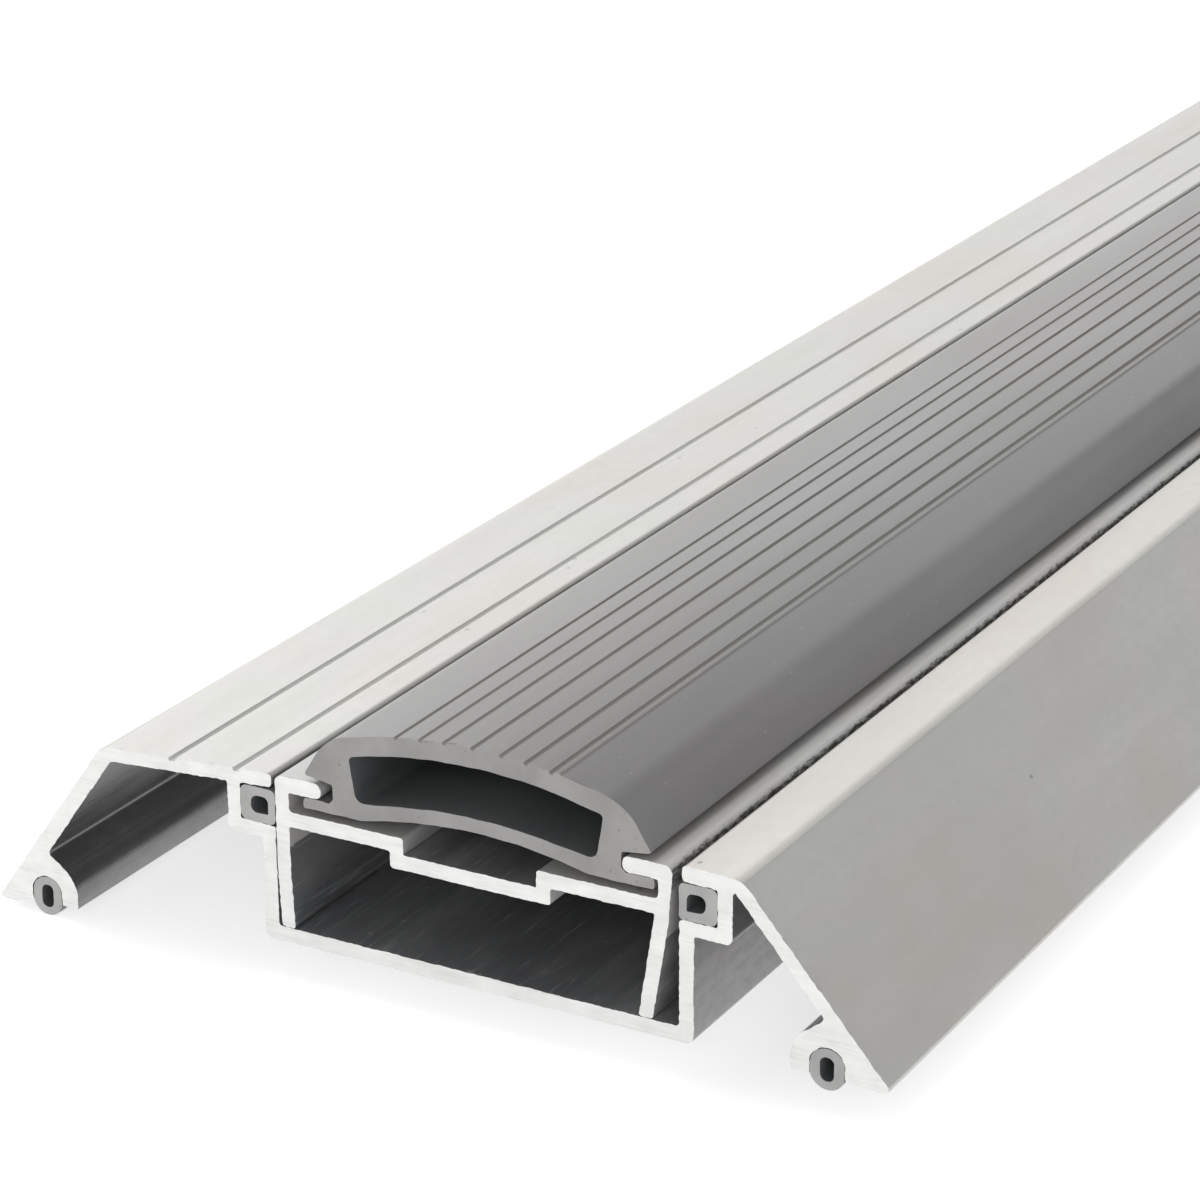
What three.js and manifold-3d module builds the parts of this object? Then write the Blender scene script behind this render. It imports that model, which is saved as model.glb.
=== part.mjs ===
// Adjustable door threshold strip.
//
// One wide base extrusion straddles the sill: an outer ramp and deck, a channel, and an inner deck and
// ramp. A height-adjustable carrier stands in the channel and holds the hollow bulb seal that the door
// closes on. Tubular seals close the gaps beside the carrier and under both feet.
//
// Frame: X runs across the strip (-X is the weather side, +X the room side), Y along it, Z up.
// The origin is the middle of the channel web's underside. All sizes are in millimetres.

import * as THREE from 'three';
import * as BufferGeometryUtils from 'three/addons/utils/BufferGeometryUtils.js';
import Module from 'manifold-3d';

const wasm = await Module();
wasm.setup();

// ---- Driving dimensions -------------------------------------------------------------------------

const STRIP_LENGTH = 1000;
const CHORD_TOLERANCE = 0.01;     // how far a facet may stand off a true arc
const FIT_CLEARANCE = 0.1;        // between pieces that lie against each other

// Base extrusion, shared by both sides
const WEB_THICKNESS = 2;
const CHANNEL_WIDTH = 55.7;       // clear width between the channel walls
const CHANNEL_WALL = 1.9;
const POCKET_HEIGHT = 4.8;        // side seal pocket, from its floor to the deck above
const POCKET_DEPTH = 5;           // side seal pocket, from the channel wall's inner face
const POCKET_WALL = 1.9;
const POCKET_FLOOR = 1.8;
const DECK_EDGE_SETBACK = 0.35;   // the deck stops this far behind the channel wall's inner face
const CREST_RADIUS = 2.6;
const TOE_RADIUS = 0.5;
const BOSS_WALL = 2.5;            // metal around the foot seal groove
const GUSSET_RISE = 0.9;          // metal filling the corner between the boss and the ramp
const GUSSET_SPREAD = 40;         // degrees round the boss from its top to the gusset's edge
const SOLE_FLAT_START = 5.2;      // from the groove's middle out to where the sole turns flat
const INNER_CREST_RADIUS = 0.8;   // fillet where the deck's underside turns into the ramp's

// Base extrusion, each side
const OUTER_SIDE = {
  direction: -1,
  deckTop: 22.2,                  // height of the deck's edge over the channel
  deckFall: 3.7,                  // degrees, down towards the ramp
  deckThickness: 1.8,
  deckBeyondPocket: 18.9,         // side seal pocket's outer face to the crest
  rampAngle: 54.4,                // degrees from level
  rampThickness: 2.15,
  sole: -4,
  heelRise: 1,                    // the boss ends this far above the sole
  grooveTop: 4.6,                 // groove's crown above the sole
  grooveInset: 7.9,               // toe corner to the groove's middle
};
const INNER_SIDE = {
  direction: 1,
  deckTop: 22.7,
  deckFall: 1.6,
  deckThickness: 2,
  deckBeyondPocket: 1.2,
  rampAngle: 49.1,
  rampThickness: 1.8,
  sole: 0,
  heelRise: 0.3,
  grooveTop: 4,
  grooveInset: 8.4,
};

// Fine anti-slip grooves in the outer deck
const DECK_GROOVE_WIDTH = 1;
const DECK_GROOVE_DEPTH = 0.45;
const DECK_GROOVE_OFFSETS = [5.5, 15];      // from the channel wall's inner face

// Countersunk fixing holes in the web, one between each two jacking screws
const FIXING_HOLE_RADIUS = 2.6;
const FIXING_HEAD_RADIUS = 4.4;

// Seal carrier
const CARRIER_SIDE_GAP = 0.15;    // to the outer channel wall, which the carrier stands against
const CARRIER_PLAY = 1;           // how much narrower the carrier is than the channel
const CARRIER_TOP = 22.25;        // lip tops above the web's underside
const CARRIER_WALL = 1.9;
const CARRIER_FLOOR = 1.95;
const SLOT_HEIGHT = 2.5;          // under the lips
const LIP_THICKNESS = 2.05;
const LIP_REACH = 6.65;           // carrier's side to the lip's nose
const RECESS_WIDTH = 18.4;
const RECESS_DEPTH = 2.2;
const OUTER_LEG = { direction: -1, wallLean: 0, legTaper: 2.6, kneeDrop: 12.2 };
const INNER_LEG = { direction: 1, wallLean: 4.6, legTaper: 9, kneeDrop: 7.4 };

// Bulb seal
const SEAL_OFFSET = 0.8;          // the seal sits this far towards the room in its carrier
const SEAL_RISE = 9.25;           // crown above the carrier's lips
const SEAL_LIP_LAP = 3.15;        // overhanging edge beyond the lip's nose
const SEAL_EDGE_RISE = 1;         // overhang's edge above the carrier's lips
const SEAL_LIP_GAP = 0.35;        // overhang's underside above the carrier's lips
const NECK_PLAY = 0.9;            // each side, between the neck and the lip's nose
const NECK_FILLET = 0.6;
const FOOT_PLAY = 1.35;           // each side, between the foot's edge and the carrier's wall
const FOOT_THICKNESS = 1.35;
const CROWN_FALL = 13;            // degrees, slope of the crown at its shoulders
const CROWN_STRAIGHT = 2;         // straight run between the crown's arc and the shoulder's
const FLANK_ANGLE = 57.6;         // degrees from level
const SHOULDER_RADIUS = 7;
const CROWN_SKIN = 2.5;
const FLOOR_SKIN = 1.9;
const ARCH_RISE = 1.8;            // the arched floor skin over the feet
const ARCH_INSET = 4.3;           // from the neck's side to where the arch springs
const ARCH_ROUNDNESS = 0.93;      // arch's radius, as a share of the arc through its feet and top
const ARCH_SPRING_RADIUS = 3;
const CAVITY_TOP_WALL = 2.4;      // from the neck's side to the cavity's upper corner
const CAVITY_BOTTOM_WALL = 3.3;
const CAVITY_CORNER_RISE = 2.1;   // cavity's lower corner above the feet's underside
const CAVITY_FLOOR_FALL = 8.6;    // degrees, slope of the cavity's floor at its corners
const SEAL_GROOVE_OFFSETS = [-10.6, -7.2, -3.9, 0, 3.9, 7.2, 10.6];    // from the seal's middle
const SEAL_GROOVE_RADIUS = 0.34;
const SEAL_GROOVE_DEPTH = 0.4;

// Tubular seals
const SIDE_SEAL_FACE_WALL = 1;    // rubber between the bore and the face on the carrier
const SIDE_SEAL_BORE_WIDTH = 2.5;
const SIDE_SEAL_BORE_HEIGHT = 2.3;
const FOOT_SEAL_WIDTH = 4.4;
const FOOT_SEAL_HEIGHT = 5.3;
const FOOT_SEAL_BORE_WIDTH = 1.8;
const FOOT_SEAL_BORE_HEIGHT = 3.1;

// Jacking screws and the rivet nuts that they turn in
const JACK_COUNT = 5;
const JACK_END_DISTANCE = 100;    // strip's end to the first screw
const SCREW_RADIUS = 2.95;
const SCREW_SINK = 0.3;           // screw's top below the nut's flange, with the carrier down
const SCREW_POINT_RADIUS = 2;
const SOCKET_ACROSS_FLATS = 3;
const SOCKET_DEPTH = 3;
const THREAD_CLEARANCE = 0.1;
const NUT_WALL = 1.4;
const NUT_FLANGE_WALL = 3.4;
const NUT_FLANGE_THICKNESS = 1;
const NUT_BULGE_WALL = 2.5;
const NUT_BULGE_HEIGHT = 1.8;
const NUT_TAIL = 2.4;
const NUT_CHAMFER = 0.3;

// ---- Materials ----------------------------------------------------------------------------------

const metal = (color, roughness) => new THREE.MeshStandardMaterial({ color, roughness, metalness: 1 });
const rubber = (color) => new THREE.MeshStandardMaterial({ color, roughness: 0.7, metalness: 0 });

const baseFinish = metal(0xcfcdc8, 0.42);
const carrierFinish = metal(0xd2d0cb, 0.4);
const screwFinish = metal(0x8a8c90, 0.35);
const nutFinish = metal(0xb9b4a4, 0.38);
const bulbRubber = rubber(0x8f8d8b);
const tubeRubber = rubber(0x858584);

// ---- Shape helpers ------------------------------------------------------------------------------

const radians = THREE.MathUtils.degToRad;

// Points along the arc that rounds the corner between two straight runs.
function roundCorner(before, corner, after, radius) {
  const toBefore = before.clone().sub(corner).normalize();
  const toAfter = after.clone().sub(corner).normalize();
  const turn = Math.PI - Math.acos(THREE.MathUtils.clamp(toBefore.dot(toAfter), -1, 1));
  const setback = radius * Math.tan(turn / 2);
  const start = corner.clone().addScaledVector(toBefore, setback);
  const bisector = toBefore.clone().add(toAfter).normalize();
  const centre = corner.clone().addScaledVector(bisector, radius / Math.cos(turn / 2));
  const sweep = Math.sign(toAfter.cross(toBefore)) * turn;
  const stepAngle = 2 * Math.acos(1 - CHORD_TOLERANCE / Math.max(radius, 2 * CHORD_TOLERANCE));
  const steps = Math.max(1, Math.ceil(turn / stepAngle));
  const points = [];
  for (let i = 0; i <= steps; i += 1) {
    points.push(start.clone().rotateAround(centre, (sweep * i) / steps));
  }
  return points;
}

// An outline whose corners are [x, z] or, where the corner is rounded, [x, z, radius]. It is returned
// counter-clockwise, so that a mirrored outline and its hole still face the same way.
function outlinePoints(corners) {
  const at = (i) => new THREE.Vector2(...corners[(i + corners.length) % corners.length].slice(0, 2));
  const points = corners.flatMap(([, , radius = 0], i) => (
    radius > 0 ? roundCorner(at(i - 1), at(i), at(i + 1), radius) : [at(i)]
  ));
  return THREE.ShapeUtils.isClockWise(points) ? points.reverse() : points;
}

function shapeOf(corners, holes = []) {
  const shape = new THREE.Shape(outlinePoints(corners));
  shape.holes = holes.map((hole) => new THREE.Path(outlinePoints(hole)));
  return shape;
}

// A section drawn across the strip, drawn out along Y over its whole length.
function drawOut(shape, length = STRIP_LENGTH) {
  const geometry = new THREE.ExtrudeGeometry(shape, { depth: length, bevelEnabled: false });
  geometry.rotateX(Math.PI / 2);
  geometry.translate(0, length / 2, 0);
  return geometry;
}

function solidOf(geometry) {
  const merged = geometry.clone();
  merged.deleteAttribute('normal');
  merged.deleteAttribute('uv');
  const welded = BufferGeometryUtils.mergeVertices(merged, 1e-5);
  const mesh = new wasm.Mesh({
    numProp: 3,
    vertProperties: new Float32Array(welded.attributes.position.array),
    triVerts: new Uint32Array(welded.index.array),
  });
  return new wasm.Manifold(mesh);
}

function geometryOf(solid) {
  const { vertProperties, triVerts } = solid.getMesh();
  const geometry = new THREE.BufferGeometry();
  geometry.setAttribute('position', new THREE.BufferAttribute(vertProperties, 3));
  geometry.setIndex(new THREE.BufferAttribute(triVerts, 1));
  geometry.computeVertexNormals();
  return geometry;
}

function turned(profile, segments = 24) {
  const points = profile.map(([radius, z]) => new THREE.Vector2(radius, z));
  return new THREE.LatheGeometry(points, segments).rotateX(Math.PI / 2);
}

function named(name, geometry, material) {
  const mesh = new THREE.Mesh(geometry, material);
  mesh.name = name;
  return mesh;
}

// Evenly pitched places along the strip, centred on its middle.
function placesAlong(count, pitch) {
  return Array.from({ length: count }, (_, i) => (i - (count - 1) / 2) * pitch);
}

const jackPitch = (STRIP_LENGTH - 2 * JACK_END_DISTANCE) / (JACK_COUNT - 1);
const jackPlaces = placesAlong(JACK_COUNT, jackPitch);
const fixingPlaces = placesAlong(JACK_COUNT - 1, jackPitch);

// ---- Base extrusion -----------------------------------------------------------------------------

const channelHalf = CHANNEL_WIDTH / 2;
const pocketBack = channelHalf + POCKET_DEPTH;
const pocketOut = pocketBack + POCKET_WALL;
const grooveRadius = FOOT_SEAL_WIDTH / 2 + FIT_CLEARANCE;
const bossRadius = grooveRadius + BOSS_WALL;

// Heights and distances of one side, measured outwards from the strip's middle plane.
function sidePlan(side) {
  const fall = Math.tan(radians(side.deckFall));
  const steep = Math.tan(radians(side.rampAngle));
  const deckEdge = channelHalf + DECK_EDGE_SETBACK;
  const deckTopAt = (reach) => side.deckTop - (reach - deckEdge) * fall;
  const crest = pocketOut + side.deckBeyondPocket;
  const crestTop = deckTopAt(crest);
  const deckDrop = side.deckThickness / Math.cos(radians(side.deckFall));
  const rampShift = side.rampThickness / Math.sin(radians(side.rampAngle));
  const toe = crest + (crestTop - side.sole) / steep;
  const rampInnerAt = (z) => toe - rampShift - (z - side.sole) / steep;
  const innerCrest = (rampInnerAt(0) * steep - deckTopAt(0) + deckDrop) / (steep - fall);
  return {
    deckEdge,
    deckTopAt,
    deckUnderAt: (reach) => deckTopAt(reach) - deckDrop,
    crest,
    crestTop,
    innerCrest,
    rampInnerAt,
    rampUnderAt: (reach) => side.sole + (toe - rampShift - reach) * steep,
    toe,
    pocketTop: deckTopAt(pocketBack) - deckDrop,
    pocketFloor: deckTopAt(pocketBack) - deckDrop - POCKET_HEIGHT,
    groove: toe - side.grooveInset,
    grooveTop: side.sole + side.grooveTop,
    grooveCentre: side.sole + side.grooveTop - grooveRadius,
    heel: side.sole + side.heelRise,
  };
}

const outerPlan = sidePlan(OUTER_SIDE);
const innerPlan = sidePlan(INNER_SIDE);

// Corners from the web's underside out to the toe and back over the deck into the channel.
function sideCorners(side, plan) {
  const pocketUnder = plan.pocketFloor - POCKET_FLOOR;
  const wallOut = channelHalf + CHANNEL_WALL;
  // A long deck has an underside of its own; over a short one the ramp meets the pocket's wall.
  const hasUnderside = plan.innerCrest - pocketOut > 2 * INNER_CREST_RADIUS;
  const underDeck = hasUnderside ? [
    [pocketOut, plan.deckUnderAt(pocketOut), 0.3],
    [plan.innerCrest, plan.deckUnderAt(plan.innerCrest), INNER_CREST_RADIUS],
  ] : [
    [pocketOut, plan.rampUnderAt(pocketOut), 0.3],
  ];
  const corners = [
    [wallOut, 0, 1],
    [wallOut, pocketUnder, 0.3],
    [pocketOut, pocketUnder, 0.8],
    ...underDeck,
    [plan.rampInnerAt(plan.grooveCentre), plan.grooveCentre],
    [plan.groove, plan.heel],
    [plan.groove + grooveRadius, plan.heel],
    [plan.groove + SOLE_FLAT_START, side.sole, 1],
    [plan.toe, side.sole, TOE_RADIUS],
    [plan.crest, plan.crestTop, CREST_RADIUS],
    [plan.deckEdge, plan.deckTopAt(plan.deckEdge), 0.6],
    [plan.deckEdge, plan.deckUnderAt(plan.deckEdge), 0.5],
    [pocketBack, plan.pocketTop, 0.2],
    [pocketBack, plan.pocketFloor, 0.3],
    [channelHalf, plan.pocketFloor, 0.4],
    [channelHalf, WEB_THICKNESS, 0.5],
  ];
  return corners.map(([reach, z, radius]) => [side.direction * reach, z, radius]);
}

// The foot's boss: a round bar cut off level with the heel.
function bossShape(side, plan) {
  const drop = plan.grooveCentre - plan.heel;
  const start = -Math.asin(drop / bossRadius);
  const shape = new THREE.Shape();
  const x = side.direction * plan.groove;
  shape.absarc(x, plan.grooveCentre, bossRadius, start, Math.PI - start, false);
  return shape;
}

// The corner between the boss and the ramp's inner face, filled in.
function gussetShape(side, plan) {
  const top = plan.grooveCentre + bossRadius + GUSSET_RISE;
  const spread = radians(GUSSET_SPREAD);
  const intoRamp = side.rampThickness / 2;
  const corners = [
    [plan.rampInnerAt(top), top],
    [plan.groove - bossRadius * Math.sin(spread), plan.grooveCentre + bossRadius * Math.cos(spread)],
    [plan.groove, plan.grooveTop],
    [plan.rampInnerAt(plan.grooveTop) + intoRamp, plan.grooveTop],
    [plan.rampInnerAt(top) + intoRamp, top],
  ];
  return shapeOf(corners.map(([reach, z]) => [side.direction * reach, z]));
}

// The foot seal's groove: a round crown with straight walls down past the sole.
function grooveShape(side, plan) {
  const x = side.direction * plan.groove;
  const bottom = side.sole - WEB_THICKNESS;
  return shapeOf([
    [x - grooveRadius, bottom],
    [x + grooveRadius, bottom],
    [x + grooveRadius, plan.grooveTop, grooveRadius - 0.01],
    [x - grooveRadius, plan.grooveTop, grooveRadius - 0.01],
  ]);
}

function deckGrooveShape(offset) {
  const reach = channelHalf + offset;
  const top = outerPlan.deckTopAt(reach);
  const half = DECK_GROOVE_WIDTH / 2;
  return shapeOf([
    [-reach - half, top + DECK_GROOVE_DEPTH],
    [-reach - half, top - DECK_GROOVE_DEPTH, 0.2],
    [-reach + half, top - DECK_GROOVE_DEPTH, 0.2],
    [-reach + half, top + DECK_GROOVE_DEPTH],
  ]);
}

function fixingHole(y) {
  const sink = FIXING_HEAD_RADIUS - FIXING_HOLE_RADIUS;
  const cutter = turned([
    [0, -1],
    [FIXING_HOLE_RADIUS, -1],
    [FIXING_HOLE_RADIUS, WEB_THICKNESS - sink],
    [FIXING_HEAD_RADIUS + 1, WEB_THICKNESS + 1],
    [0, WEB_THICKNESS + 1],
  ]);
  return solidOf(cutter.translate(0, y, 0));
}

function baseFrame() {
  const outline = [
    ...sideCorners(INNER_SIDE, innerPlan),
    ...sideCorners(OUTER_SIDE, outerPlan).reverse(),
  ];
  let solid = solidOf(drawOut(shapeOf(outline)));
  for (const [side, plan] of [[INNER_SIDE, innerPlan], [OUTER_SIDE, outerPlan]]) {
    solid = solid.add(solidOf(drawOut(bossShape(side, plan))));
    solid = solid.add(solidOf(drawOut(gussetShape(side, plan))));
    solid = solid.subtract(solidOf(drawOut(grooveShape(side, plan), STRIP_LENGTH + 2)));
  }
  for (const offset of DECK_GROOVE_OFFSETS) {
    solid = solid.subtract(solidOf(drawOut(deckGrooveShape(offset), STRIP_LENGTH + 2)));
  }
  for (const y of fixingPlaces) {
    solid = solid.subtract(fixingHole(y));
  }
  return named('base_frame', geometryOf(solid), baseFinish);
}

// ---- Seal carrier -------------------------------------------------------------------------------

const carrierHalf = (CHANNEL_WIDTH - CARRIER_PLAY) / 2;
const carrierCentre = carrierHalf - channelHalf + CARRIER_SIDE_GAP;
const slotTop = CARRIER_TOP - LIP_THICKNESS;
const slotFloor = slotTop - SLOT_HEIGHT;
const recessFloor = slotFloor - RECESS_DEPTH;
const legBottom = WEB_THICKNESS + FIT_CLEARANCE;

// Corners of half the carrier, from the recess's underside round the leg and lip to the recess.
function carrierCorners(leg) {
  const lean = Math.tan(radians(leg.wallLean));
  const taper = Math.tan(radians(leg.legTaper));
  const knee = CARRIER_TOP - leg.kneeDrop;
  const outerAt = (z) => carrierHalf - Math.max(0, CARRIER_TOP - z) * lean;
  const legOuter = outerAt(knee) - (knee - legBottom) * taper;
  const kneeIn = outerAt(knee) - CARRIER_WALL;
  const underside = slotFloor - CARRIER_FLOOR;
  const innerTop = leg.wallLean > 0 ? kneeIn + (underside - knee) * taper : kneeIn;
  const innerKnee = leg.wallLean > 0 ? [] : [[kneeIn, knee]];
  const recessUnder = RECESS_WIDTH / 2 + CARRIER_WALL;
  const corners = [
    [recessUnder, recessFloor - CARRIER_FLOOR, 0.4],
    [recessUnder, underside, 0.3],
    [innerTop, underside, 0.3],
    ...innerKnee,
    [legOuter - CARRIER_WALL, legBottom, 0.3],
    [legOuter, legBottom, 0.3],
    [outerAt(knee), knee],
    [carrierHalf, CARRIER_TOP, 1],
    [carrierHalf - LIP_REACH, CARRIER_TOP, 0.95],
    [carrierHalf - LIP_REACH, slotTop, 0.95],
    [carrierHalf - CARRIER_WALL, slotTop, 0.2],
    [carrierHalf - CARRIER_WALL, slotFloor, 0.6],
    [RECESS_WIDTH / 2, slotFloor, 0.4],
    [RECESS_WIDTH / 2, recessFloor, 0.2],
  ];
  return corners.map(([reach, z, radius]) => [carrierCentre + leg.direction * reach, z, radius]);
}

const nutShankRadius = SCREW_RADIUS + THREAD_CLEARANCE + NUT_WALL;

function sealCarrier() {
  const outline = [...carrierCorners(INNER_LEG), ...carrierCorners(OUTER_LEG).reverse()];
  let solid = solidOf(drawOut(shapeOf(outline)));
  for (const y of jackPlaces) {
    const hole = new THREE.CylinderGeometry(
      nutShankRadius + FIT_CLEARANCE, nutShankRadius + FIT_CLEARANCE, CARRIER_TOP, 24,
    );
    hole.rotateX(Math.PI / 2).translate(carrierCentre, y, recessFloor);
    solid = solid.subtract(solidOf(hole));
  }
  return named('seal_carrier', geometryOf(solid), carrierFinish);
}

// ---- Bulb seal ----------------------------------------------------------------------------------

const sealCentre = carrierCentre + SEAL_OFFSET;
const sealTop = CARRIER_TOP + SEAL_RISE;
const noseReach = carrierHalf - LIP_REACH;
const neckHalf = noseReach - NECK_PLAY;
const footTop = slotTop - FIT_CLEARANCE;
const footBottom = footTop - FOOT_THICKNESS;

const overhang = noseReach + SEAL_LIP_LAP;
const overhangEdge = CARRIER_TOP + SEAL_EDGE_RISE;

// Height of the corner whose rounding gives an arc of this radius with its crown at top.
function arcCornerHeight(top, radius, slopeDegrees) {
  return top + radius * (1 / Math.cos(radians(slopeDegrees)) - 1);
}

// The crown's radius for which its arc, a straight run and the shoulder's arc fill the seal's width.
function findCrownRadius() {
  const fall = radians(CROWN_FALL);
  const flank = radians(FLANK_ANGLE);
  const spread = (Math.tan(flank) - Math.tan(fall)) * Math.cos(fall);
  const rise = overhangEdge + overhang * Math.tan(flank) - sealTop;
  const shoulderSetback = SHOULDER_RADIUS * Math.tan((flank - fall) / 2);
  const slopeLength = rise / spread - shoulderSetback - CROWN_STRAIGHT;
  return slopeLength / (Math.tan(fall) + (1 / Math.cos(fall) - 1) / spread);
}

const crownRadius = findCrownRadius();

function bulbOutline() {
  const footReach = carrierHalf - CARRIER_WALL - FOOT_PLAY;
  const notchTop = CARRIER_TOP + SEAL_LIP_GAP;
  const fall = Math.tan(radians(CROWN_FALL));
  const steep = Math.tan(radians(FLANK_ANGLE));
  const apex = arcCornerHeight(sealTop, crownRadius, CROWN_FALL);
  const shoulder = (overhangEdge + overhang * steep - apex) / (steep - fall);
  const archHalf = neckHalf - ARCH_INSET;
  const archCorner = footBottom + 2 * ARCH_RISE;
  const archRadius = (archHalf ** 2 + ARCH_RISE ** 2) / (2 * ARCH_RISE);
  const half = [
    [archHalf, footBottom, ARCH_SPRING_RADIUS],
    [footReach, footBottom, 0.3],
    [footReach, footTop, 0.4],
    [neckHalf + NECK_FILLET, footTop, 0.2],
    [neckHalf, footTop + NECK_FILLET, 0.2],
    [neckHalf, notchTop, 0.3],
    [overhang, overhangEdge, 0.25],
    [shoulder, apex - shoulder * fall, SHOULDER_RADIUS],
  ];
  const right = half.map(([reach, z, radius]) => [sealCentre + reach, z, radius]);
  const left = half.map(([reach, z, radius]) => [sealCentre - reach, z, radius]).reverse();
  const crown = [sealCentre, apex, crownRadius];
  const arch = [sealCentre, archCorner, archRadius * ARCH_ROUNDNESS];
  return [arch, ...right, crown, ...left];
}

function bulbCavity() {
  const ceilingTop = sealTop - CROWN_SKIN;
  const apex = arcCornerHeight(ceilingTop, crownRadius - CROWN_SKIN, CROWN_FALL);
  const topHalf = neckHalf - CAVITY_TOP_WALL;
  const bottomHalf = neckHalf - CAVITY_BOTTOM_WALL;
  const topCorner = apex - topHalf * Math.tan(radians(CROWN_FALL));
  const bottomCorner = footBottom + CAVITY_CORNER_RISE;
  const floorTop = footBottom + ARCH_RISE + FLOOR_SKIN;
  const floorCorner = arcCornerHeight(floorTop, crownRadius, CAVITY_FLOOR_FALL);
  return [
    [sealCentre - topHalf, topCorner, 0.6],
    [sealCentre - bottomHalf, bottomCorner, 1.3],
    [sealCentre, floorCorner, crownRadius],
    [sealCentre + bottomHalf, bottomCorner, 1.3],
    [sealCentre + topHalf, topCorner, 0.6],
    [sealCentre, apex, crownRadius - CROWN_SKIN],
  ];
}

// Height of the crown's arc at a distance from the seal's middle.
function crownHeight(offset) {
  return sealTop - crownRadius + Math.sqrt(crownRadius ** 2 - offset ** 2);
}

function sealGrooveShape(offset) {
  const z = crownHeight(offset) + SEAL_GROOVE_RADIUS - SEAL_GROOVE_DEPTH;
  const shape = new THREE.Shape();
  shape.absarc(sealCentre + offset, z, SEAL_GROOVE_RADIUS, 0, 2 * Math.PI, false);
  return shape;
}

function bulbSeal() {
  let solid = solidOf(drawOut(shapeOf(bulbOutline(), [bulbCavity()])));
  for (const offset of SEAL_GROOVE_OFFSETS) {
    const cutter = new THREE.ExtrudeGeometry(sealGrooveShape(offset), {
      depth: STRIP_LENGTH + 2, bevelEnabled: false, curveSegments: 5,
    });
    cutter.rotateX(Math.PI / 2).translate(0, STRIP_LENGTH / 2 + 1, 0);
    solid = solid.subtract(solidOf(cutter));
  }
  return named('bulb_seal', geometryOf(solid), bulbRubber);
}

// ---- Tubular seals ------------------------------------------------------------------------------

// A side seal fills its pocket and reaches the channel wall's inner face; its bore is D-shaped.
function sideSeal(name, side, plan) {
  const back = pocketBack - FIT_CLEARANCE / 2;
  const front = channelHalf - FIT_CLEARANCE / 2;
  const bottom = plan.pocketFloor + FIT_CLEARANCE / 2;
  const top = plan.pocketTop - FIT_CLEARANCE / 2;
  const boreFront = front + SIDE_SEAL_FACE_WALL;
  const boreBack = boreFront + SIDE_SEAL_BORE_WIDTH;
  const boreBottom = (bottom + top - SIDE_SEAL_BORE_HEIGHT) / 2;
  const boreTop = boreBottom + SIDE_SEAL_BORE_HEIGHT;
  const place = ([reach, z, radius]) => [side.direction * reach, z, radius];
  const outline = [
    [front, bottom, 0.7],
    [back, bottom, 0.9],
    [back, top, 0.9],
    [front, top, 0.7],
  ];
  const bore = [
    [boreFront, boreBottom, 0.15],
    [boreBack, boreBottom, 0.9],
    [boreBack, boreTop, 1],
    [boreFront, boreTop, 0.8],
  ];
  return named(name, drawOut(shapeOf(outline.map(place), [bore.map(place)])), tubeRubber);
}

function footSeal(name, side, plan) {
  const x = side.direction * plan.groove;
  const top = plan.grooveTop - FIT_CLEARANCE;
  const middle = top - FOOT_SEAL_HEIGHT / 2;
  const oval = (width, height, radius) => [
    [x - width / 2, middle - height / 2, radius],
    [x + width / 2, middle - height / 2, radius],
    [x + width / 2, middle + height / 2, radius],
    [x - width / 2, middle + height / 2, radius],
  ];
  const outline = oval(FOOT_SEAL_WIDTH, FOOT_SEAL_HEIGHT, FOOT_SEAL_WIDTH / 2 - 0.05);
  const bore = oval(FOOT_SEAL_BORE_WIDTH, FOOT_SEAL_BORE_HEIGHT, FOOT_SEAL_BORE_WIDTH / 2 - 0.1);
  return named(name, drawOut(shapeOf(outline, [bore])), tubeRubber);
}

// ---- Jacking screws and rivet nuts --------------------------------------------------------------

const nutFlangeBottom = recessFloor + FIT_CLEARANCE / 2;
const nutFlangeTop = nutFlangeBottom + NUT_FLANGE_THICKNESS;

// A grub screw standing on the web, its top just under the nut's flange.
function jackScrew(name, y) {
  const top = nutFlangeTop - SCREW_SINK;
  const chamfer = SCREW_RADIUS - SCREW_POINT_RADIUS;
  const body = solidOf(turned([
    [0, legBottom],
    [SCREW_POINT_RADIUS, legBottom],
    [SCREW_RADIUS, legBottom + chamfer],
    [SCREW_RADIUS, top - chamfer / 2],
    [SCREW_RADIUS - chamfer / 2, top],
    [0, top],
  ]));
  const socketRadius = SOCKET_ACROSS_FLATS / Math.sqrt(3);
  const socket = new THREE.CylinderGeometry(socketRadius, socketRadius, 2 * SOCKET_DEPTH, 6);
  socket.rotateX(Math.PI / 2).translate(0, 0, top);
  const mesh = named(name, geometryOf(body.subtract(solidOf(socket))), screwFinish);
  mesh.position.set(carrierCentre, y, 0);
  return mesh;
}

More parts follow.
